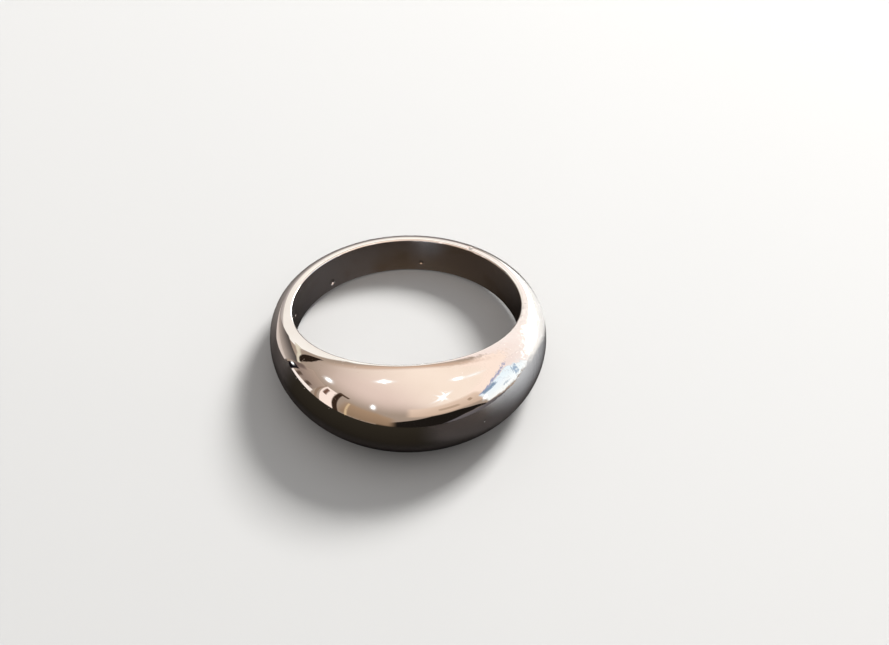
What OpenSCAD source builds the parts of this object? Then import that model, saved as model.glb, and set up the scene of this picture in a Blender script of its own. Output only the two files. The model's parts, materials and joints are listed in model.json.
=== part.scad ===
// Plain finger ring with a rounded dome, one piece of silver, lying on its side.
// Sizes are in millimetres. The dome faces -Y, and the ring rests on the plane z = 0.

/* [Finger hole] */
// Diameter of the finger hole
bore_d = 17.3; // [14:0.1:22]

/* [Band width] */
// Width of the band over the dome
dome_w = 6.9; // [4:0.1:9]
// Width of the band at the back of the finger
back_w = 2.95; // [2:0.05:4]
// How fast the width falls away from the dome
w_taper = 2; // [1:0.1:3]

/* [Metal thickness] */
// Thickness of the metal in the middle of the dome
dome_t = 4.25; // [2:0.05:5]
// Thickness of the metal at the back of the finger
back_t = 1.5; // [1:0.05:2]
// How fast the thickness falls away from the dome
t_taper = 3.4; // [1:0.1:5]

/* [Edges] */
// Width of the flat land beside the finger hole
land_w = 0.28; // [0.2:0.01:0.4]
// Chamfer that takes the sharp edge off the finger hole
edge_break = 0.12; // [0.05:0.01:0.15]

/* [Smoothness] */
// Sections round the band
sections = 96; // [48:8:120]
// Steps over the crown of one section
crown_steps = 18; // [8:2:24]

/* [Hidden] */

bore_r = bore_d / 2;
// Facets round the finger hole
bore_facets = 180;
// The blank is left this much too tight, for the finger hole to be cut from it
bore_stock = 0.3;
// Points in the outline of one section: the crown's, and two at each edge of the hole
outline_points = crown_steps + 5;

// What is left of the dome at an angle round the finger: 1 at the dome, 0 at the back
function dome_share(turn, taper) = pow((1 + cos(turn)) / 2, taper);

function half_width(turn) = (back_w + (dome_w - back_w) * dome_share(turn, w_taper)) / 2;

function thickness(turn) = back_t + (dome_t - back_t) * dome_share(turn, t_taper);

// How far the rounded crown stands out from the land
function crown_rise(turn) = thickness(turn) - land_w;

// Half an ellipse over the band, as [distance from the finger's axis, height along it]
function crown(turn) = [
    for (step = [0:crown_steps])
        let (swing = 180 * step / crown_steps - 90)
            [bore_r + land_w + crown_rise(turn) * cos(swing), half_width(turn) * sin(swing)]
];

// Closed outline of one section: the hole's lower edge, the crown, the hole's upper edge
function outline(turn) =
    let (
        edge_r = bore_r + edge_break,
        stock_r = bore_r - bore_stock,
        edge_z = half_width(turn),
        stock_z = edge_z - edge_break - bore_stock
    )
    concat(
        [[stock_r, -stock_z], [edge_r, -edge_z]],
        crown(turn),
        [[edge_r, edge_z], [stock_r, stock_z]]
    );

function round_finger(point, turn) = [point[0] * sin(turn), -point[0] * cos(turn), point[1]];

// Number of a point in the blank's list, where both counts run on past their ends
function at(section, point) = (section % sections) * outline_points + point % outline_points;

// The ring touches down on its front land and on the back of its crown.
// Each pass of this function brings the slope between the two closer.
function rest_slope(passes) =
    passes == 0 ? 0 :
    let (back_drop = norm([half_width(180), crown_rise(180) * rest_slope(passes - 1)]))
    (half_width(0) - back_drop) / (bore_d + edge_break + land_w);

rest_lean = atan(rest_slope(4));
rest_height = half_width(0) * cos(rest_lean) - (bore_r + edge_break) * sin(rest_lean);

// How far the leaning crown reaches past the land, along Y
function reach(turn) = norm([crown_rise(turn) * cos(rest_lean), half_width(turn) * sin(rest_lean)]);

// Brings the middle of the ring's length to y = 0
centre_y = (reach(0) - reach(180)) / 2;

// The domed band before the finger hole is cut to size
module blank() {
    polyhedron(
        points = [
            for (section = [0:sections - 1])
                let (turn = 360 * section / sections)
                    for (point = outline(turn)) round_finger(point, turn)
        ],
        faces = [
            for (section = [0:sections - 1], point = [0:outline_points - 1], half = [0, 1])
                half == 0
                    ? [at(section, point), at(section, point + 1), at(section + 1, point + 1)]
                    : [at(section, point), at(section + 1, point + 1), at(section + 1, point)]
        ]
    );
}

module finger_hole() {
    cylinder(r = bore_r, h = 2 * dome_w, center = true, $fn = bore_facets);
}

// Leans the ring back until its front and back edges both touch the plane z = 0
module at_rest() {
    translate([0, centre_y, rest_height])
        rotate([-rest_lean, 0, 0])
            children();
}

module dome_band() {
    color("silver")
        at_rest()
            difference() {
                blank();
                finger_hole();
            }
}

dome_band();
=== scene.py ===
"""Polished silver dome ring lying on its side, dressed and lit for a studio picture."""

import json
import logging
from bisect import bisect
from dataclasses import dataclass
from enum import Enum
from math import atan2, cos, hypot, pi, radians, sin, tau

import bmesh
import bpy
from mathutils import Matrix, Vector


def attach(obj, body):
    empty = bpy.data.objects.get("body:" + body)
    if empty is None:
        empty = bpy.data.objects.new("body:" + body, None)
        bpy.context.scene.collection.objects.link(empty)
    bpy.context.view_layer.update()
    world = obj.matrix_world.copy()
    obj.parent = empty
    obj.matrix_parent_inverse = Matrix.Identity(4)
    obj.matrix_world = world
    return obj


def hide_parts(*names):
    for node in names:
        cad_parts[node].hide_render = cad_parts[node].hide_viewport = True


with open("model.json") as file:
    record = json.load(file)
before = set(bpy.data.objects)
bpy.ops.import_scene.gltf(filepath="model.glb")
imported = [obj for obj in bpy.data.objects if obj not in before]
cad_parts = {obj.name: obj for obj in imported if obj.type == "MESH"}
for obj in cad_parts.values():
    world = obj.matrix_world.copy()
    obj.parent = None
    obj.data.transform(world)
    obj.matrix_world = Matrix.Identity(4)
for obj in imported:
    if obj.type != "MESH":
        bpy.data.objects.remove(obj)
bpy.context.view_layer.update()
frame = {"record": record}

log = logging.getLogger("ring")

MM = 0.001
NODE = "dome_band"
BODY = "root"
PIECE = "dome_band_polished"

# Radius of the finger hole, in millimetres
BORE_RADIUS = 8.65
# A face is part of the hole's wall where its normal points outwards by less than this
WALL_FACING = -0.9

# Noise detail that lays one finer pattern over the main one
NOISE_DETAIL = 1.0
# Directions of the scratches that wear leaves, as rotations in radians
CROSSED_LAYS = ((0.4, 0.9, 0.5), (1.3, 0.2, 2.1), (2.4, 1.7, 1.2))

# UV map of the cards, which runs from 0 to 1 each way
CARD_UV = "card"
# Middle of that map, and so also how far each edge is from the middle
CARD_MIDDLE = 0.5
# Squares along each side of a card, enough to follow its bends
CARD_GRID = 24
# Brightness that makes up for what the silver takes from a card that it mirrors
MIRROR_LOSS = 1.07
# Brightness of a lamp's middle, and the power that narrows that middle
LAMP_GAIN = 5.0
LAMP_HEART = 3.0

# Height of a card on the floor if it is the first of the cards, and what each card adds to it
FLOOR_GAP = 0.05 * MM
FLOOR_STEP = 0.005 * MM
# The ring's flank, which mirrors the floor: its distance from the finger's axis, and its height
FLANK_RADIUS = 10 * MM
FLANK_HEIGHT = 2.5 * MM

Socket = bpy.types.NodeSocket


def linear(colour: str) -> tuple[float, float, float, float]:
    """Turns an sRGB hex colour linear.

    Args:
        colour: Six hex digits after a hash sign.

    Returns:
        Red, green and blue as linear values, and an alpha of 1.
    """
    parts = [int(colour[place : place + 2], 16) / 255 for place in (1, 3, 5)]
    red, green, blue = (
        part / 12.92 if part <= 0.04045 else ((part + 0.055) / 1.055) ** 2.4 for part in parts
    )
    return red, green, blue, 1.0


def add_node(
    tree: bpy.types.NodeTree,
    kind: str,
    inputs: dict[str | int, object] | None = None,
    **settings: object,
) -> bpy.types.Node:
    """Adds a node with its settings and links.

    Args:
        tree: Node tree that gets the node.
        kind: Blender's name for the type of node.
        inputs: A value, or the socket to link from, for each input's name or number.
        settings: The node's own properties.

    Returns:
        The new node.
    """
    node = tree.nodes.new(kind)
    for name, value in settings.items():
        setattr(node, name, value)
    for key, value in (inputs or {}).items():
        if isinstance(value, Socket):
            tree.links.new(value, node.inputs[key])
        else:
            node.inputs[key].default_value = value
    return node


def new_material(name: str) -> bpy.types.Material:
    """Makes a material with an empty node tree.

    Args:
        name: Name of the material.

    Returns:
        The new material.
    """
    material = bpy.data.materials.new(name)
    material.use_nodes = True
    material.node_tree.nodes.clear()
    return material


@dataclass(frozen=True)
class FingerFrame:
    """Where the finger hole is: its centre, its axis and its radius, in metres."""

    centre: Vector
    axis: Vector
    radius: float

    @classmethod
    def from_record(cls, mount_name: str) -> "FingerFrame":
        """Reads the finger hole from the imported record.

        Args:
            mount_name: Name of the record's bore mount.

        Returns:
            The finger hole as the CAD part has it.
        """
        mount = next(m for m in frame["record"]["mounts"] if m["name"] == mount_name)
        return cls(Vector(mount["pos_m"]), Vector(mount["axis"]), mount["dims"]["r_mm"] * MM)

    @property
    def placing(self) -> Matrix:
        """Takes the upright finger hole, with its axis on Z, to its place in the part."""
        lean = Vector((0, 0, 1)).rotation_difference(self.axis)
        return Matrix.Translation(self.centre) @ lean.to_matrix().to_4x4()


class ScratchLay(Enum):
    """How the fine scratches of a finish lie."""

    CROSSED = "in a few directions, as wear leaves them"
    ROUND_FINGER = "round the finger, as emery on a mandrel leaves them"


@dataclass(frozen=True)
class Mark:
    """A place on the metal. Angles are in degrees and lengths in millimetres.

    The turn is 0 at the dome and 90 at +X, and the height is along the finger, from the middle of
    the band. The size is the radius of the mark, and the depth is how deep it looks.
    """

    turn: float
    radius: float
    height: float
    size: float
    depth: float = 0.0

    def nearness(self, tree: bpy.types.NodeTree, spot: Socket) -> Socket:
        """Gives a socket that is 1 in the middle of the mark and 0 outside it.

        Args:
            tree: The material's node tree.
            spot: Place on the metal, in millimetres.

        Returns:
            The socket.
        """
        turn = radians(self.turn)
        middle = (self.radius * sin(turn), -self.radius * cos(turn), self.height)
        away = add_node(tree, "ShaderNodeVectorMath", {0: spot, 1: middle}, operation="DISTANCE")
        near = add_node(
            tree,
            "ShaderNodeMapRange",
            {"Value": away.outputs["Value"], "From Min": self.size, "From Max": 0.0},
            interpolation_type="SMOOTHSTEP",
        )
        return near.outputs[0]


# Stands in for a mark that a finish doesn't have: in mid-hole, where it touches no metal
NO_MARK = Mark(turn=0, radius=0, height=0, size=1)


@dataclass(frozen=True)
class SilverFinish:
    """One finish of cast sterling silver, 925 parts in a thousand.

    Lengths are in millimetres. The metal's own colour is nearly white, and everything else that the
    eye sees in it is mirrored, so the polish, its faint waves and its wear do the work, apart from
    a painted sheen. Where it is rubbed it is duller and more scratched, and where it is scuffed its
    scratches are deeper. It is more tarnished round one place and less further off, and the painted
    sheen takes the tarnish off a patch so that it looks brighter there, as a painted reflection.
    """

    name: str
    metal: str
    tarnish: str
    tarnish_share: float
    roughness: float
    worn_roughness: float
    wave_size: float
    wave_depth: float
    scratch_width: float
    scratch_length: float
    scratch_depth: float
    lay: ScratchLay
    pit_spacing: float
    pit_size: float
    pit_depth: float
    ripple_size: float = 0.5
    ripple_depth: float = 0.0
    stain_size: float = 4.5
    stain_detail: float = 3.0
    stain_raggedness: float = 0.6
    stain_edge: tuple[float, float] = (0.45, 0.75)
    scratch_edge: tuple[float, float] = (0.76, 0.86)
    rubbed: Mark = NO_MARK
    rubbed_scratches: float = 0.14
    rubbed_dullness: float = 0.25
    scuffed: Mark = NO_MARK
    scuff_depth: float = 0.0
    # Place where the tarnish is thickest, fading further off, and how much it adds there
    tarnish_spot: Mark = NO_MARK
    tarnish_spot_share: float = 0.0
    # Painted sheen: a patch whose tarnish is taken off so that it looks brighter, a painted
    # reflection
    painted_sheen: Mark = NO_MARK
    painted_sheen_share: float = 0.0
    marks: tuple[Mark, ...] = ()

    def material(self, finger: FingerFrame) -> bpy.types.Material:
        """Makes the material.

        Args:
            finger: The finger hole, whose frame the patterns follow.

        Returns:
            The finished material.
        """
        material = new_material(self.name)
        tree = material.node_tree
        spot = self.spot(tree, finger)
        rubbed = self.rubbed.nearness(tree, spot)
        scratched = self.scratches(tree, spot, rubbed)
        stain = add_node(
            tree,
            "ShaderNodeTexNoise",
            {
                "Vector": spot,
                "Scale": 1 / self.stain_size,
                "Detail": self.stain_detail,
                "Roughness": self.stain_raggedness,
            },
        )
        clear, full = self.stain_edge
        clouded = add_node(
            tree,
            "ShaderNodeMapRange",
            {
                "Value": stain.outputs["Fac"],
                "From Min": clear,
                "From Max": full,
                "To Max": self.tarnish_share,
            },
        )
        stained = add_node(
            tree,
            "ShaderNodeMath",
            {0: self.tarnish_spot.nearness(tree, spot), 1: self.tarnish_spot_share, 2: clouded.outputs[0]},
            operation="MULTIPLY_ADD",
            use_clamp=True,
        )
        # Painted sheen: takes the tarnish off a patch so that it looks brighter, a painted
        # reflection
        tarnish_outside_sheen = add_node(
            tree,
            "ShaderNodeMath",
            {0: self.painted_sheen.nearness(tree, spot), 1: -self.painted_sheen_share, 2: 1.0},
            operation="MULTIPLY_ADD",
        )
        tarnished = add_node(
            tree,
            "ShaderNodeMath",
            {0: stained.outputs[0], 1: tarnish_outside_sheen.outputs[0]},
            operation="MULTIPLY",
        )
        colour = add_node(
            tree,
            "ShaderNodeMix",
            {0: tarnished.outputs[0], 6: linear(self.metal), 7: linear(self.tarnish)},
            data_type="RGBA",
        )
        worn = add_node(
            tree,
            "ShaderNodeMath",
            {0: rubbed, 1: self.rubbed_dullness, 2: scratched},
            operation="MULTIPLY_ADD",
        )
        dulled = add_node(
            tree,
            "ShaderNodeMapRange",
            {"Value": worn.outputs[0], "To Min": self.roughness, "To Max": self.worn_roughness},
        )
        bumped = add_node(
            tree,
            "ShaderNodeBump",
            {"Height": self.relief(tree, spot, scratched, rubbed), "Distance": MM},
        )
        shader = add_node(
            tree,
            "ShaderNodeBsdfPrincipled",
            {
                "Base Color": colour.outputs[2],
                "Metallic": 1.0,
                "Roughness": dulled.outputs[0],
                "Normal": bumped.outputs[0],
            },
        )
        add_node(tree, "ShaderNodeOutputMaterial", {"Surface": shader.outputs[0]})
        return material

    def spot(self, tree: bpy.types.NodeTree, finger: FingerFrame) -> Socket:
        """Gives a place on the metal, in millimetres from the finger hole's centre.

        Args:
            tree: The material's node tree.
            finger: The finger hole.

        Returns:
            The socket of that place, with Z along the finger.
        """
        place = add_node(tree, "ShaderNodeTexCoord")
        upright = add_node(
            tree,
            "ShaderNodeMapping",
            {
                "Vector": place.outputs["Object"],
                "Location": finger.centre,
                "Rotation": finger.placing.to_euler(),
            },
            vector_type="TEXTURE",
        )
        in_mm = add_node(
            tree,
            "ShaderNodeVectorMath",
            {0: upright.outputs[0], "Scale": 1 / MM},
            operation="SCALE",
        )
        return in_mm.outputs[0]

    def scratches(self, tree: bpy.types.NodeTree, spot: Socket, rubbed: Socket) -> Socket:
        """Draws the fine scratches of polishing and wear.

        Args:
            tree: The material's node tree.
            spot: Place on the metal, in millimetres.
            rubbed: A socket that is 1 where the metal is rubbed most.

        Returns:
            A socket that is 1 in a scratch and 0 beside it.
        """
        across, along = 1 / self.scratch_width, 1 / self.scratch_length
        if self.lay is ScratchLay.ROUND_FINGER:
            flat = add_node(
                tree, "ShaderNodeVectorMath", {0: spot, 1: (1, 1, 0)}, operation="MULTIPLY"
            )
            turned = add_node(
                tree, "ShaderNodeVectorMath", {0: flat.outputs[0]}, operation="NORMALIZE"
            )
            level = add_node(
                tree, "ShaderNodeVectorMath", {0: spot, 1: (0, 0, across)}, operation="MULTIPLY"
            )
            reach = BORE_RADIUS * along
            drawn = add_node(
                tree,
                "ShaderNodeVectorMath",
                {0: turned.outputs[0], 1: (reach, reach, 0), 2: level.outputs[0]},
                operation="MULTIPLY_ADD",
            )
            ways = [drawn.outputs[0]]
        else:
            ways = [
                add_node(
                    tree,
                    "ShaderNodeMapping",
                    {"Vector": spot, "Rotation": lay, "Scale": (along, across, across)},
                ).outputs[0]
                for lay in CROSSED_LAYS
            ]
        shown = [
            add_node(
                tree, "ShaderNodeTexNoise", {"Vector": way, "Scale": 1.0, "Detail": NOISE_DETAIL}
            ).outputs["Fac"]
            for way in ways
        ]
        deepest = shown[0]
        for other in shown[1:]:
            deeper = add_node(tree, "ShaderNodeMath", {0: deepest, 1: other}, operation="MAXIMUM")
            deepest = deeper.outputs[0]
        more = add_node(
            tree,
            "ShaderNodeMath",
            {0: rubbed, 1: self.rubbed_scratches, 2: deepest},
            operation="MULTIPLY_ADD",
        )
        whole, open_cut = self.scratch_edge
        cut = add_node(
            tree,
            "ShaderNodeMapRange",
            {"Value": more.outputs[0], "From Min": whole, "From Max": open_cut},
        )
        return cut.outputs[0]

    def relief(
        self, tree: bpy.types.NodeTree, spot: Socket, scratched: Socket, rubbed: Socket
    ) -> Socket:
        """Adds up the faint waves of the polish, its ripples, scratches, pits and marks.

        Args:
            tree: The material's node tree.
            spot: Place on the metal, in millimetres.
            scratched: A socket that is 1 in a scratch.
            rubbed: A socket that is 1 where the metal is rubbed most.

        Returns:
            The socket of the height, in millimetres.
        """
        waves, ripples = (
            add_node(
                tree,
                "ShaderNodeTexNoise",
                {"Vector": spot, "Scale": 1 / size, "Detail": NOISE_DETAIL},
            )
            for size in (self.wave_size, self.ripple_size)
        )
        rippled = add_node(
            tree, "ShaderNodeMath", {0: ripples.outputs["Fac"], 1: rubbed}, operation="MULTIPLY"
        )
        bitten = add_node(
            tree,
            "ShaderNodeMath",
            {0: scratched, 1: self.scuffed.nearness(tree, spot)},
            operation="MULTIPLY",
        )
        cells = add_node(
            tree, "ShaderNodeTexVoronoi", {"Vector": spot, "Scale": 1 / self.pit_spacing}
        )
        pitted = add_node(
            tree,
            "ShaderNodeMapRange",
            {
                "Value": cells.outputs["Distance"],
                "From Min": self.pit_size / self.pit_spacing,
                "From Max": 0.0,
            },
            interpolation_type="SMOOTHSTEP",
        )
        height: Socket | float = 0.0
        layers = [
            (waves.outputs["Fac"], self.wave_depth),
            (rippled.outputs[0], self.ripple_depth),
            (scratched, -self.scratch_depth),
            (bitten.outputs[0], -self.scuff_depth),
            (pitted.outputs[0], -self.pit_depth),
        ]
        layers += [(mark.nearness(tree, spot), -mark.depth) for mark in self.marks]
        for layer, depth in layers:
            height = add_node(
                tree, "ShaderNodeMath", {0: layer, 1: depth, 2: height}, operation="MULTIPLY_ADD"
            ).outputs[0]
        return height


# Buffed with rouge after casting: nearly a mirror. The dome's right shoulder is rubbed most, so
# what it mirrors is ragged, and deeper scratches sparkle on top of it. Waves are long and faint.
# Scratches are drawn 0.1 mm wide, because real ones are too fine to show.
MIRROR_POLISH = SilverFinish(
    name="sterling_silver_mirror_polished",
    metal="#FBFAF7",
    tarnish="#E0D8CA",
    tarnish_share=0.2,
    roughness=0.03,
    worn_roughness=0.18,
    wave_size=2.2,
    wave_depth=0.003,
    scratch_width=0.1,
    scratch_length=3.0,
    scratch_depth=0.002,
    lay=ScratchLay.CROSSED,
    pit_spacing=2.3,
    pit_size=0.09,
    pit_depth=0.004,
    ripple_size=0.45,
    ripple_depth=0.018,
    rubbed=Mark(turn=62, radius=11.0, height=2.2, size=10),
    scuffed=Mark(turn=84, radius=10.2, height=1.9, size=4.5),
    scuff_depth=0.025,
    # A dent in the rim at the back right, two specks on the right shoulder, and one on the dome
    marks=(
        Mark(turn=143, radius=8.95, height=1.49, size=0.3, depth=0.05),
        Mark(turn=77, radius=9.92, height=1.79, size=0.14, depth=0.015),
        Mark(turn=71, radius=9.9, height=2.0, size=0.12, depth=0.015),
        Mark(turn=23.3, radius=12.49, height=0.03, size=0.12, depth=0.05),
    ),
)

# Emery finished round the finger hole: softer, and a little tarnished, most towards the back right
# and less further off. A patch near the top edge at the back is a painted sheen: its tarnish is
# taken off so that it looks brighter, as a painted reflection. Scratches are drawn 0.14 mm wide to
# show.
EMERY_FINISH = SilverFinish(
    name="sterling_silver_emery_finished",
    metal="#E4E6EA",
    tarnish="#B0936C",
    tarnish_share=0.45,
    roughness=0.17,
    worn_roughness=0.3,
    wave_size=3.0,
    wave_depth=0.004,
    scratch_width=0.14,
    scratch_length=9.0,
    scratch_depth=0.003,
    lay=ScratchLay.ROUND_FINGER,
    pit_spacing=2.6,
    pit_size=0.08,
    pit_depth=0.03,
    # Tarnish thickest towards the back right of the hole and less further off
    tarnish_spot=Mark(turn=148, radius=BORE_RADIUS, height=0, size=17),
    tarnish_spot_share=0.72,
    # Painted sheen: this patch loses its tarnish and looks brighter, as a painted reflection
    painted_sheen=Mark(turn=165, radius=BORE_RADIUS, height=1.3, size=2.1),
    painted_sheen_share=0.9,
    # A bright nick in the wall, and two small ones
    marks=(
        Mark(turn=219, radius=8.64, height=-0.75, size=0.3, depth=0.45),
        Mark(turn=169, radius=8.64, height=-0.68, size=0.2, depth=0.25),
        Mark(turn=256.5, radius=8.64, height=0, size=0.2, depth=0.3),
    ),
)


@dataclass
class DomeBand:
    """The ring itself, one piece of silver. Sizes are in metres, and turn 0 is the dome."""

    finger: FingerFrame
    dome_width: float = 6.9 * MM
    back_width: float = 2.95 * MM
    width_taper: float = 2.0
    dome_thickness: float = 4.25 * MM
    back_thickness: float = 1.5 * MM
    thickness_taper: float = 3.4
    land: float = 0.28 * MM
    edge_round: float = 0.12 * MM
    sections: int = 64
    crown_steps: int = 16
    wall_cuts: int = 3
    edge_segments: int = 3
    sharp_angle: float = pi / 3
    merge_distance: float = MM / 1000
    smoothing: int = 2
    outside: SilverFinish = MIRROR_POLISH
    inside: SilverFinish = EMERY_FINISH

    def dome_share(self, turn: float, taper: float) -> float:
        """What is left of the dome at an angle round the finger: 1 at the dome, 0 at the back."""
        return ((1 + cos(turn)) / 2) ** taper

    def half_width(self, turn: float) -> float:
        """Half of the band's width at an angle round the finger."""
        share = self.dome_share(turn, self.width_taper)
        return (self.back_width + (self.dome_width - self.back_width) * share) / 2

    def crown_rise(self, turn: float) -> float:
        """Works out how far the crown stands out from the land.

        Args:
            turn: Angle round the finger.

        Returns:
            The height of the crown there.
        """
        share = self.dome_share(turn, self.thickness_taper)
        thickness = self.back_thickness + (self.dome_thickness - self.back_thickness) * share
        return thickness - self.land

    def section(self, bm: bmesh.types.BMesh) -> None:
        """Draws one section of the band on the YZ plane, with a round crown of 1 mm radius.

        Args:
            bm: Empty mesh that gets the closed outline.
        """
        land_y = -(self.finger.radius + self.land)
        upright = Matrix.Translation((0, land_y, 0)) @ Matrix.Rotation(pi / 2, 4, "Y")
        bmesh.ops.create_circle(bm, segments=2 * self.crown_steps, radius=MM, matrix=upright)
        inner_half = [v for v in bm.verts if v.co.y > land_y + self.merge_distance]
        bmesh.ops.delete(bm, geom=inner_half, context="VERTS")
        ends = sorted(bm.verts, key=lambda v: v.co.y)[-2:]
        corners = bmesh.ops.extrude_vert_indiv(bm, verts=ends)["verts"]
        for corner in corners:
            corner.co.y = -self.finger.radius
        wall = bm.edges.new(corners)
        bmesh.ops.subdivide_edges(bm, edges=[wall], cuts=self.wall_cuts)

    def taper(self, bm: bmesh.types.BMesh) -> None:
        """Gives each section its own width and thickness.

        Args:
            bm: The band, spun from one section.
        """
        step = tau / self.sections
        land_radius = self.finger.radius + self.land
        by_turn: dict[int, list[bmesh.types.BMVert]] = {}
        for vert in bm.verts:
            number = round(atan2(vert.co.x, -vert.co.y) / step) % self.sections
            by_turn.setdefault(number, []).append(vert)
        for number, verts in by_turn.items():
            turn = number * step
            to_land = Matrix.Translation((0, land_radius, 0)) @ Matrix.Rotation(-turn, 4, "Z")
            crown = [v for v in verts if hypot(v.co.x, v.co.y) > land_radius]
            bmesh.ops.scale(bm, vec=(1, self.crown_rise(turn) / MM, 1), space=to_land, verts=crown)
            bmesh.ops.scale(bm, vec=(1, 1, self.half_width(turn) / MM), space=to_land, verts=verts)

    def round_edges(self, bm: bmesh.types.BMesh) -> None:
        """Takes the sharp edge off both ends of the finger hole.

        Args:
            bm: The tapered band.
        """
        sharp = [
            e for e in bm.edges if len(e.link_faces) == 2 and e.calc_face_angle() > self.sharp_angle
        ]
        bmesh.ops.bevel(
            bm,
            geom=sharp,
            offset=self.edge_round,
            offset_type="OFFSET",
            segments=self.edge_segments,
            profile=0.5,
            affect="EDGES",
            material=-1,
        )

    def mesh(self) -> bpy.types.Mesh:
        """Builds the band's mesh.

        Returns:
            The band in its place, with the finger hole's wall in the second material slot.
        """
        bm = bmesh.new()
        self.section(bm)
        bmesh.ops.spin(
            bm,
            geom=bm.verts[:] + bm.edges[:],
            axis=(0, 0, 1),
            angle=tau,
            steps=self.sections,
            use_merge=True,
        )
        bmesh.ops.remove_doubles(bm, verts=bm.verts, dist=self.merge_distance)
        self.taper(bm)
        bmesh.ops.recalc_face_normals(bm, faces=bm.faces)
        self.round_edges(bm)
        for face in bm.faces:
            face.smooth = True
            outwards = (face.calc_center_median() * Vector((1, 1, 0))).normalized()
            face.material_index = int(face.normal.dot(outwards) < WALL_FACING)
        bmesh.ops.transform(bm, matrix=self.finger.placing, verts=bm.verts)
        mesh = bpy.data.meshes.new(PIECE)
        bm.to_mesh(mesh)
        bm.free()
        return mesh

    def build(self) -> bpy.types.Object:
        """Makes the finished piece and puts it in place of its CAD node.

        Returns:
            The ring's object.
        """
        ring = bpy.data.objects.new(PIECE, self.mesh())
        bpy.context.collection.objects.link(ring)
        for finish in (self.outside, self.inside):
            ring.data.materials.append(finish.material(self.finger))
        smooth = ring.modifiers.new("smooth", "SUBSURF")
        smooth.levels = smooth.render_levels = self.smoothing
        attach(ring, BODY)
        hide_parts(NODE)
        return ring


class CardShape(Enum):
    """What a card looks like from the ring."""

    PANEL = "a panel with four edges"
    GLOW = "a round glow"


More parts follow.
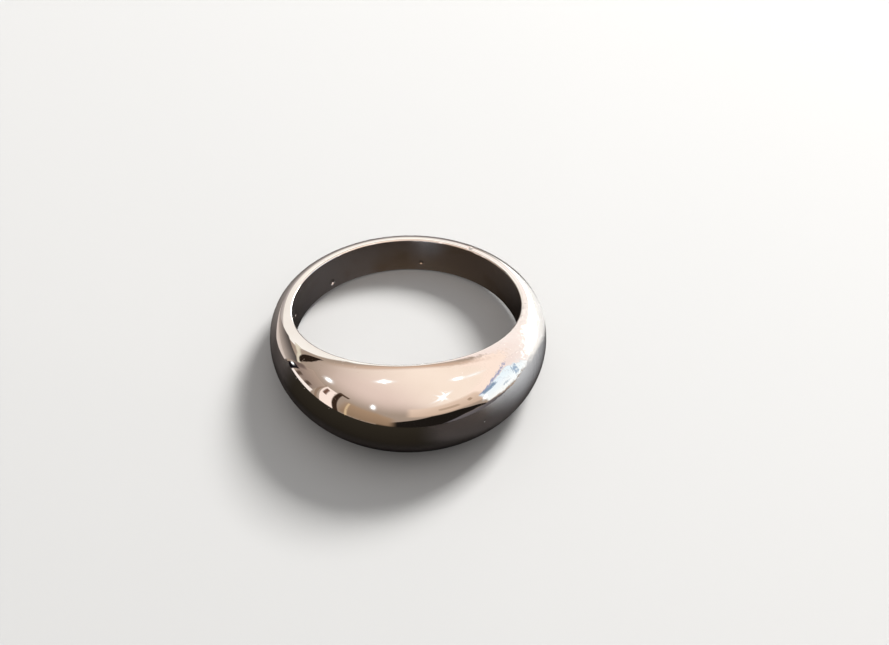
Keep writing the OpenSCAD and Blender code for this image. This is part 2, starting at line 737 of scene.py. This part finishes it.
@dataclass(frozen=True)
class Card:
    """A card or lamp of the studio, which only the polish mirrors.

    Each column is an azimuth with the elevations of the card's lower and upper edge there, in
    degrees. Azimuth 0 is +Y and 90 is +X. The lean is in degrees of azimuth for each degree of
    elevation, and the softness is how wide the edges fade, in degrees. The low colour is the lower
    edge's, and the gain is the brightness of the card's middle. A card on the floor has its upper
    edge at the horizon, where it doesn't fade.
    """

    name: str
    columns: tuple[tuple[float, float, float], ...]
    colour: str
    low_colour: str = ""
    gain: float = MIRROR_LOSS
    softness: float = 1.0
    lean: float = 0.0
    shape: CardShape = CardShape.PANEL
    on_floor: bool = False

    def flank(self, way: Vector) -> Vector:
        """Finds which part of the ring a card on the floor is mirrored in.

        Args:
            way: Direction of a point of the card.

        Returns:
            That part's place from the ring's centre, or no shift for a card that stands far off.
        """
        if not self.on_floor:
            return Vector()
        # The flank that mirrors a thing faces halfway between it and the picture's side, -Y
        facing = (Vector((way.x, way.y, 0)).normalized() + Vector((0, -1, 0))).normalized()
        return FLANK_RADIUS * facing

    def direction(self, across: float, up: float) -> Vector:
        """Finds the direction of a point of the card.

        Args:
            across: From 0 at the first column to 1 at the last.
            up: From 0 at the lower edge to 1 at the upper edge.

        Returns:
            A vector of unit length from the ring to that point.
        """
        azimuth = self.columns[0][0] + across * (self.columns[-1][0] - self.columns[0][0])
        near = bisect([column[0] for column in self.columns[1:-1]], azimuth)
        left, right = self.columns[near], self.columns[near + 1]
        share = (azimuth - left[0]) / (right[0] - left[0])
        low, high = (start + share * (end - start) for start, end in zip(left[1:], right[1:]))
        height = low + up * (high - low)
        side = radians(azimuth + self.lean * height)
        rise = radians(height)
        return Vector((sin(side) * cos(rise), cos(side) * cos(rise), sin(rise)))

    def mesh(self, distance: float, lift: float, centre: Vector) -> bpy.types.Mesh:
        """Bends a grid into the card.

        Args:
            distance: From the ring to the card.
            lift: How far a card that lies on the floor is above it.
            centre: Point that the card faces.

        Returns:
            The card's mesh.
        """
        bm = bmesh.new()
        bm.loops.layers.uv.new(CARD_UV)
        bmesh.ops.create_grid(
            bm, x_segments=CARD_GRID, y_segments=CARD_GRID, size=CARD_MIDDLE, calc_uvs=True
        )
        for vert in bm.verts:
            way = self.direction(vert.co.x + CARD_MIDDLE, vert.co.y + CARD_MIDDLE)
            reach = distance
            if self.on_floor and way.z < 0:
                reach = min(distance, (centre.z - lift) / -way.z)
            vert.co = centre + self.flank(way) + reach * way
            if self.on_floor:
                vert.co.z = lift
        mesh = bpy.data.meshes.new(self.name)
        bm.to_mesh(mesh)
        bm.free()
        return mesh

    def cover(self, tree: bpy.types.NodeTree, spot: Socket, parts: bpy.types.Node) -> Socket:
        """Fades the card out towards its edges.

        Args:
            tree: The card's node tree.
            spot: Place on the card, from 0 to 1 each way.
            parts: The same place as separate numbers.

        Returns:
            A socket that is 1 where the card covers what is behind it.
        """
        if self.shape is CardShape.GLOW:
            away = add_node(
                tree,
                "ShaderNodeVectorMath",
                {0: spot, 1: (CARD_MIDDLE, CARD_MIDDLE, 0)},
                operation="DISTANCE",
            )
            glow = add_node(
                tree,
                "ShaderNodeMapRange",
                {"Value": away.outputs["Value"], "From Min": CARD_MIDDLE, "From Max": 0.0},
                interpolation_type="SMOOTHSTEP",
            ).outputs[0]
            squared = add_node(tree, "ShaderNodeMath", {0: glow, 1: glow}, operation="MULTIPLY")
            return squared.outputs[0]
        width = self.columns[-1][0] - self.columns[0][0]
        height = max(high - low for _, low, high in self.columns)
        across, up = (
            add_node(
                tree,
                "ShaderNodeMath",
                {0: parts.outputs[number], 1: CARD_MIDDLE},
                operation="PINGPONG",
            ).outputs[0]
            for number in (0, 1)
        )
        top = CARD_MIDDLE
        if self.on_floor:
            up = parts.outputs[1]
            top = 1.0
        fades = [
            add_node(
                tree,
                "ShaderNodeMapRange",
                {"Value": inward, "From Max": min(self.softness / size, furthest)},
                interpolation_type="SMOOTHSTEP",
            ).outputs[0]
            for inward, size, furthest in ((across, width, CARD_MIDDLE), (up, height, top))
        ]
        both = add_node(tree, "ShaderNodeMath", dict(enumerate(fades)), operation="MULTIPLY")
        return both.outputs[0]

    def material(self) -> bpy.types.Material:
        """Makes the card's light, from its lower colour to its upper one.

        Returns:
            The card's material.
        """
        material = new_material(self.name)
        tree = material.node_tree
        spot = add_node(tree, "ShaderNodeUVMap", uv_map=CARD_UV).outputs[0]
        parts = add_node(tree, "ShaderNodeSeparateXYZ", {0: spot})
        colour = add_node(
            tree,
            "ShaderNodeMix",
            {
                0: parts.outputs[1],
                6: linear(self.low_colour or self.colour),
                7: linear(self.colour),
            },
            data_type="RGBA",
        )
        cover = self.cover(tree, spot, parts)
        heart = add_node(tree, "ShaderNodeMath", {0: cover, 1: LAMP_HEART}, operation="POWER")
        strength = add_node(
            tree,
            "ShaderNodeMapRange",
            {"Value": heart.outputs[0], "To Min": MIRROR_LOSS, "To Max": self.gain},
        )
        light = add_node(
            tree,
            "ShaderNodeEmission",
            {"Color": colour.outputs[2], "Strength": strength.outputs[0]},
        )
        clear = add_node(tree, "ShaderNodeBsdfTransparent")
        seen = add_node(
            tree, "ShaderNodeMixShader", {0: cover, 1: clear.outputs[0], 2: light.outputs[0]}
        )
        add_node(tree, "ShaderNodeOutputMaterial", {"Surface": seen.outputs[0]})
        return material

    def build(self, distance: float, lift: float, centre: Vector) -> None:
        """Makes the card.

        Args:
            distance: From the ring to the card.
            lift: How far a card that lies on the floor is above it.
            centre: Point that the card faces.
        """
        card = bpy.data.objects.new(self.name, self.mesh(distance, lift, centre))
        bpy.context.collection.objects.link(card)
        card.data.materials.append(self.material())
        card.visible_camera = card.visible_diffuse = card.visible_shadow = False


def lamp(
    name: str, azimuth: float, elevation: float, width: float, height: float, lean: float
) -> Card:
    """Makes a small round lamp. Sizes are in degrees.

    Args:
        name: Name of the lamp.
        azimuth: Direction of its middle.
        elevation: Height of its middle.
        width: How far it reaches across.
        height: How far it reaches up.
        lean: Degrees of azimuth for each degree of elevation.

    Returns:
        The lamp as a card.
    """
    start = azimuth - lean * elevation - width / 2
    low, high = elevation - height / 2, elevation + height / 2
    columns = ((start, low, high), (start + width, low, high))
    return Card(name, columns, "#FFFFFF", gain=LAMP_GAIN, lean=lean, shape=CardShape.GLOW)


# What the polish mirrors round the ring, each card in front of those before it
CARDS = (
    Card(
        "floor_glow",
        ((8, -52, 0), (60, -52, 0), (100, -50, 0), (132, -44, 0)),
        "#BEBFC3",
        "#57565B",
        softness=52,
        on_floor=True,
    ),
    Card(
        "floor_glow_back",
        ((-48, -40, 0), (-30, -42, 0), (22, -42, 0)),
        "#8E8682",
        "#4A4543",
        softness=40,
        on_floor=True,
    ),
    Card(
        "floor_shade",
        ((160, -45, 0), (300, -45, 0)),
        "#2C2720",
        "#1B1713",
        softness=22,
        on_floor=True,
    ),
    Card(
        "bright_band",
        ((16, 24, 51), (50, 24, 54), (80, 20, 54), (122, 22, 50)),
        "#FBE5D8",
        softness=7,
    ),
    Card(
        "ceiling_edge",
        ((-45, 31, 48), (0, 34, 48), (52, 37, 48)),
        "#C9A893",
        shape=CardShape.GLOW,
    ),
    Card(
        "cornice",
        ((108, 12, 47), (135, 22, 49), (190, 24, 50)),
        "#E4CAB8",
        "#C7AC98",
        softness=8,
    ),
    Card("cornice_spot_right", ((121, 33, 40), (128, 31, 38)), "#A68C78", softness=2.5),
    Card("cornice_spot_middle", ((135, 31, 38), (158, 33, 40)), "#B39A86", softness=3),
    Card(
        "back_wall_low",
        ((-36, -4, 18), (-20, -4, 20), (12, -4, 20)),
        "#D2C6BF",
        "#80787A",
        softness=3,
    ),
    Card(
        "back_wall",
        ((-34, 13, 27), (-20, 12, 33), (-4, 12, 35), (9, 12, 35)),
        "#F8F2EC",
        "#EEE5DE",
        softness=2,
    ),
    Card("back_light", ((-12, 25, 37), (14, 25, 37)), "#FFFEF9", gain=1.15, softness=3.5),
    Card(
        "window_glow",
        ((3, 12, 35), (20, 10, 37), (45, 8, 39), (66, 6, 40)),
        "#F4E1DA",
        "#FFF8F4",
        softness=5,
    ),
    Card("pink_screen", ((54, -4, 40), (80, -4, 39)), "#F1DDD7", "#FBF3EF", softness=4),
    Card("window", ((8, -12, 16), (30, -14, 25), (72, -14, 21)), "#FFFDFA", gain=12, softness=16),
    Card(
        "window_sheet",
        ((4, -43, 0), (15, -41, 0), (30, -32, 0), (45, -23, 0), (60, -11, 0), (78, -4, 0)),
        "#FFFEFC",
        "#D8D3D0",
        softness=14,
        on_floor=True,
    ),
    Card(
        "side_window_far",
        ((71, -2, 37), (98, 2, 38)),
        "#DDEAF3",
        "#F6FAFB",
        gain=1.15,
        softness=4,
    ),
    Card(
        "side_window_near",
        ((88, 2, 38), (119, 7, 33)),
        "#DEEAF6",
        "#F6F6F4",
        gain=1.15,
        softness=4,
    ),
    Card("window_edge", ((62, 36, 40), (90, 36, 40), (117, 29, 33)), "#8F97BC", softness=2),
    Card("window_bar_far", ((83, 7, 30), (90, 5, 28)), "#94AAC4", softness=4, lean=-0.35),
    Card("window_bar_near", ((94, 28, 36), (115, 25, 34)), "#8296B0", softness=3.4),
    Card("window_bar_low", ((91, 11, 17), (100, 12, 18)), "#B4C0CE", softness=3),
    Card(
        "grey_flag",
        ((92, -6, -1), (106, -6, 5), (118, -6, 9), (132, -6, 11), (146, -6, 10), (166, -6, 0)),
        "#625D60",
        softness=4,
    ),
    Card(
        "dark_flag",
        ((119, 6, 8), (125, 9, 16), (140, 8, 24.5), (165, -4, 26), (190, -4, 17), (212, -4, 6)),
        "#1B1714",
        softness=1.4,
    ),
    Card(
        "tan_panel",
        ((194, -3, 22), (214, -3, 33), (248, -3, 36)),
        "#A88B72",
        "#876F5A",
        softness=9,
    ),
    Card("pale_stripe", ((234.5, -2, 30), (238, -2, 30)), "#CDB18F", lean=0.15, softness=1.4),
    Card("dark_post", ((242, -3, 38), (248, -3, 38)), "#35261D", lean=0.3, softness=1.2),
    Card("dark_lintel", ((246, 36, 40), (260, 36, 41)), "#4A382B", softness=1.5),
    Card("cream_card", ((247, -2, 36), (260, -2, 35)), "#F7E3D9", lean=0.32, softness=1),
    Card("brown_patch", ((252.5, 18, 32), (258.5, 19, 33)), "#6E5044", lean=0.32, softness=2),
    Card("thin_post", ((262, -2, 35), (265, -2, 35)), "#8E7766", lean=0.25, softness=1),
    Card("grey_wall", ((268, 4, 35), (300, 12, 37)), "#B09A8C", "#84726A", softness=4),
    Card("grey_corner", ((291, 11, 29), (302, 13, 29)), "#6B5A54", softness=5),
    Card("brown_mark_near", ((272, 4, 17), (280, 4, 16)), "#54443A", softness=3),
    Card("brown_mark_far", ((283, 4, 16), (290, 4, 16)), "#54443A", softness=3),
    Card("white_strip", ((268, -5, 9), (292, -5, 5)), "#F7EAE4", softness=1.5),
    Card("dark_strip", ((290.5, -6, 17), (297.5, -6, 14)), "#120E12", softness=1),
    Card(
        "left_wall",
        ((298, -2, 19), (306, -2, 23), (331, -2, 21)),
        "#3F3936",
        "#B4A69E",
        softness=1.5,
    ),
    Card(
        "left_sheet",
        ((299, -3, 0), (310, -6.5, 0), (317, -7.5, 0), (328, -3.5, 0), (338, -0.5, 0)),
        "#C0B2AA",
        "#E0D2CB",
        softness=1.5,
        on_floor=True,
    ),
    Card("light_line", ((299, 19, 24), (316, 25, 30), (334, 24, 29)), "#D6CBB8", softness=1.8),
    Card(
        "dark_arc",
        ((302, 23.5, 25), (308, 25, 32), (315, 28, 36.5), (323, 31, 38), (336, 35.5, 37)),
        "#281D16",
        softness=0.8,
    ),
    lamp("lamp_back_halo", 331, 68.5, 50, 13, 0.0),
    lamp("lamp_back", 331, 68, 20, 19, -2.0),
    lamp("lamp_left", 285, 43, 28, 13, 0.5),
    lamp("lamp_front_left", 222, 40.5, 13, 23, 0.4),
    lamp("lamp_front_right", 138, 61, 26, 20, -1.0),
    Card("lamp_ray_level", ((134, 48, 74), (142, 48, 74)), "#FFFFFF", gain=3, softness=13),
    Card(
        "lamp_ray_upright",
        ((228, 48, 76), (236, 48, 76)),
        "#FFFFFF",
        gain=3,
        softness=13,
        lean=-1.6,
    ),
    Card(
        "lamp_ray_slanting",
        ((104, 63, 69), (135, 59, 65), (166, 50, 56)),
        "#FFFFFF",
        gain=3,
        softness=30,
    ),
    lamp("lamp_right", 57, 64.5, 38, 14, 0.0),
    Card("lamp_right_tail", ((50, 46, 68), (72, 46, 68)), "#FFFDFB", shape=CardShape.GLOW),
    lamp("lamp_far_left", 295.5, 9, 7, 10, 0.0),
    lamp("window_spark", 115.5, 21, 12, 22, -0.5),
)


@dataclass
class Studio:
    """The pale floor, the soft light and the cards that the polish mirrors.

    Lengths are in metres and angles in degrees, with azimuths as the cards have them. Each card
    stands a step nearer than the last. The polish sees a dark floor, with a painted contact shadow
    along the foot of the finger hole's wall. The room's dim side turns bright between two cosines
    of the angle from the bright side's middle. Its walls turn into its ceiling between two
    elevations, which are close together on the bright side and far apart on the dim side.
    """

    centre: Vector
    floor_size: float = 3.0
    card_distance: float = 0.9
    card_step: float = 0.003
    floor_colour: str = "#B6B5B3"
    floor_roughness: float = 0.8
    floor_gloss: float = 0.2
    floor_in_polish: str = "#2A2727"
    # Colour of the painted contact shadow along the foot of the hole's wall, seen only in the
    # polish
    painted_wall_shadow: str = "#0E0C0B"
    roughness_in_polish: float = 0.4
    shade_reach: float = 2.2 * MM
    backdrop: str = "#D6D6D7"
    ceiling: str = "#FFEBDC"
    dim_ceiling: str = "#E5CDC2"
    wall: str = "#A69385"
    bright_side: float = 75.0
    side_fade: tuple[float, float] = (-0.4, 0.3)
    bright_corner: tuple[float, float] = (36.0, 46.0)
    dim_corner: tuple[float, float] = (30.0, 76.0)
    key_azimuth: float = 42.0
    key_elevation: float = 38.0
    key_distance: float = 0.5
    key_size: float = 0.16
    key_power: float = 5.0
    cards: tuple[Card, ...] = CARDS

    def floor(self) -> None:
        """Makes the plain pale floor, which the polish sees as a dark and glossier one."""
        bm = bmesh.new()
        bmesh.ops.create_grid(bm, x_segments=1, y_segments=1, size=self.floor_size / 2)
        mesh = bpy.data.meshes.new("floor")
        bm.to_mesh(mesh)
        bm.free()
        floor = bpy.data.objects.new("floor", mesh)
        bpy.context.collection.objects.link(floor)
        material = new_material("pale_studio_floor")
        tree = material.node_tree
        # Painted contact shadow: the floor that the polish sees is darkest on the circle where the
        # hole's wall meets it, fading over the shade's reach
        place = add_node(tree, "ShaderNodeTexCoord").outputs["Object"]
        middle = (self.centre.x, self.centre.y, 0)
        away = add_node(tree, "ShaderNodeVectorMath", {0: place, 1: middle}, operation="DISTANCE")
        past = add_node(
            tree,
            "ShaderNodeMath",
            {0: away.outputs["Value"], 1: BORE_RADIUS * MM},
            operation="SUBTRACT",
        )
        gap = add_node(tree, "ShaderNodeMath", {0: past.outputs[0]}, operation="ABSOLUTE")
        open_floor = add_node(
            tree,
            "ShaderNodeMapRange",
            {"Value": gap.outputs[0], "From Max": self.shade_reach},
            interpolation_type="SMOOTHSTEP",
        )
        shaded = add_node(
            tree,
            "ShaderNodeMix",
            {
                0: open_floor.outputs[0],
                6: linear(self.painted_wall_shadow),
                7: linear(self.floor_in_polish),
            },
            data_type="RGBA",
        )
        pale, dark = (
            add_node(
                tree,
                "ShaderNodeBsdfPrincipled",
                {
                    "Base Color": colour,
                    "Roughness": roughness,
                    "Specular IOR Level": self.floor_gloss,
                },
            )
            for colour, roughness in (
                (linear(self.floor_colour), self.floor_roughness),
                (shaded.outputs[2], self.roughness_in_polish),
            )
        )
        ray = add_node(tree, "ShaderNodeLightPath")
        seen = add_node(
            tree,
            "ShaderNodeMixShader",
            {0: ray.outputs["Is Glossy Ray"], 1: pale.outputs[0], 2: dark.outputs[0]},
        )
        add_node(tree, "ShaderNodeOutputMaterial", {"Surface": seen.outputs[0]})
        mesh.materials.append(material)

    def room_light(self, tree: bpy.types.NodeTree) -> Socket:
        """Colours the room by direction: a warm ceiling, dimmer away from its bright side.

        Args:
            tree: The world's node tree.

        Returns:
            The socket of the room's colour.
        """
        way = add_node(tree, "ShaderNodeTexCoord").outputs["Generated"]
        height = add_node(tree, "ShaderNodeSeparateXYZ", {0: way}).outputs[2]
        bright = radians(self.bright_side)
        facing = add_node(
            tree,
            "ShaderNodeVectorMath",
            {0: way, 1: (sin(bright), cos(bright), 0)},
            operation="DOT_PRODUCT",
        )
        dim, lit = self.side_fade
        side = add_node(
            tree,
            "ShaderNodeMapRange",
            {"Value": facing.outputs["Value"], "From Min": dim, "From Max": lit},
            interpolation_type="SMOOTHSTEP",
        ).outputs[0]
        corner, fade = (
            add_node(
                tree,
                "ShaderNodeMapRange",
                {"Value": height, "From Min": sin(radians(low)), "From Max": sin(radians(high))},
                interpolation_type="SMOOTHSTEP",
            )
            for low, high in (self.bright_corner, self.dim_corner)
        )
        overhead = add_node(
            tree, "ShaderNodeMix", {0: side, 2: fade.outputs[0], 3: corner.outputs[0]}
        )
        ceiling = add_node(
            tree,
            "ShaderNodeMix",
            {0: side, 6: linear(self.dim_ceiling), 7: linear(self.ceiling)},
            data_type="RGBA",
        )
        room = add_node(
            tree,
            "ShaderNodeMix",
            {0: overhead.outputs[0], 6: linear(self.wall), 7: ceiling.outputs[2]},
            data_type="RGBA",
        )
        return room.outputs[2]

    def world(self) -> None:
        """Gives a plain pale backdrop and soft light, and the room that only the polish mirrors."""
        world = bpy.data.worlds.new("studio")
        bpy.context.scene.world = world
        world.use_nodes = True
        tree = world.node_tree
        tree.nodes.clear()
        ray = add_node(tree, "ShaderNodeLightPath")
        seen = add_node(
            tree,
            "ShaderNodeMix",
            {
                0: ray.outputs["Is Glossy Ray"],
                6: linear(self.backdrop),
                7: self.room_light(tree),
            },
            data_type="RGBA",
        )
        light = add_node(tree, "ShaderNodeBackground", {"Color": seen.outputs[2]})
        add_node(tree, "ShaderNodeOutputWorld", {"Surface": light.outputs[0]})

    def key_light(self) -> None:
        """Makes the softbox at the back right, which casts the ring's soft shadow."""
        data = bpy.data.lights.new("key_softbox", "AREA")
        data.shape = "SQUARE"
        data.size = self.key_size
        data.energy = self.key_power
        key = bpy.data.objects.new("key_softbox", data)
        bpy.context.collection.objects.link(key)
        key.matrix_world = (
            Matrix.Translation(self.centre)
            @ Matrix.Rotation(-radians(self.key_azimuth), 4, "Z")
            @ Matrix.Rotation(radians(self.key_elevation), 4, "X")
            @ Matrix.Translation((0, self.key_distance, 0))
            @ Matrix.Rotation(-pi / 2, 4, "X")
        )
        key.visible_glossy = False

    def build(self) -> None:
        """Sets up the floor, the room, the softbox and every card."""
        self.floor()
        self.world()
        self.key_light()
        for number, card in enumerate(self.cards):
            distance = self.card_distance - number * self.card_step
            card.build(distance, FLOOR_GAP + number * FLOOR_STEP, self.centre)


@dataclass
class PictureCamera:
    """The camera at the photograph's angle.

    Angles are in degrees and lengths in metres, apart from the sensor's millimetres. The scale is
    the picture's pixels for a metre at the target, and the aim is in pixels from the target.
    """

    target: Vector
    distance: float = 0.2
    elevation: float = 45.844
    turn: float = 2.881
    roll: float = 1.301
    scale: float = 13.169e3
    picture_width: int = 889
    aim_right: float = 37.50
    aim_up: float = 1.85
    sensor_width: float = 36.0
    nearest: float = 0.02

    def build(self) -> None:
        """Makes the camera and gives it to the scene."""
        turning = Matrix.Rotation(-radians(self.turn), 4, "Z")
        tilting = Matrix.Rotation(pi / 2 - radians(self.elevation), 4, "X")
        facing = turning @ tilting
        offset = Vector((self.aim_right / self.scale, self.aim_up / self.scale, 0))
        stand = self.target + facing.to_3x3() @ Vector((0, 0, self.distance))
        aim = self.target + facing.to_3x3() @ offset
        data = bpy.data.cameras.new("picture_camera")
        data.sensor_width = self.sensor_width
        data.lens = self.scale * self.distance * self.sensor_width / self.picture_width
        data.clip_start = self.nearest
        camera = bpy.data.objects.new("picture_camera", data)
        bpy.context.collection.objects.link(camera)
        look = (stand - aim).normalized()
        side = (facing.to_3x3() @ Vector((0, 1, 0))).cross(look).normalized()
        upward = look.cross(side)
        turned = Matrix((side, upward, look)).transposed().to_4x4()
        camera.matrix_world = (
            Matrix.Translation(stand) @ turned @ Matrix.Rotation(-radians(self.roll), 4, "Z")
        )
        bpy.context.scene.camera = camera


def main() -> None:
    """Builds the ring, the studio and the camera."""
    logging.basicConfig(level=logging.INFO, format="%(message)s")
    bpy.context.scene.view_settings.view_transform = "Standard"
    finger = FingerFrame.from_record("finger_bore")
    PictureCamera(finger.centre).build()
    Studio(Vector((finger.centre.x, finger.centre.y, FLANK_HEIGHT))).build()
    ring = DomeBand(finger).build()
    log.info("%s: %d faces", ring.name, len(ring.data.polygons))


if __name__ == "__main__":
    main()
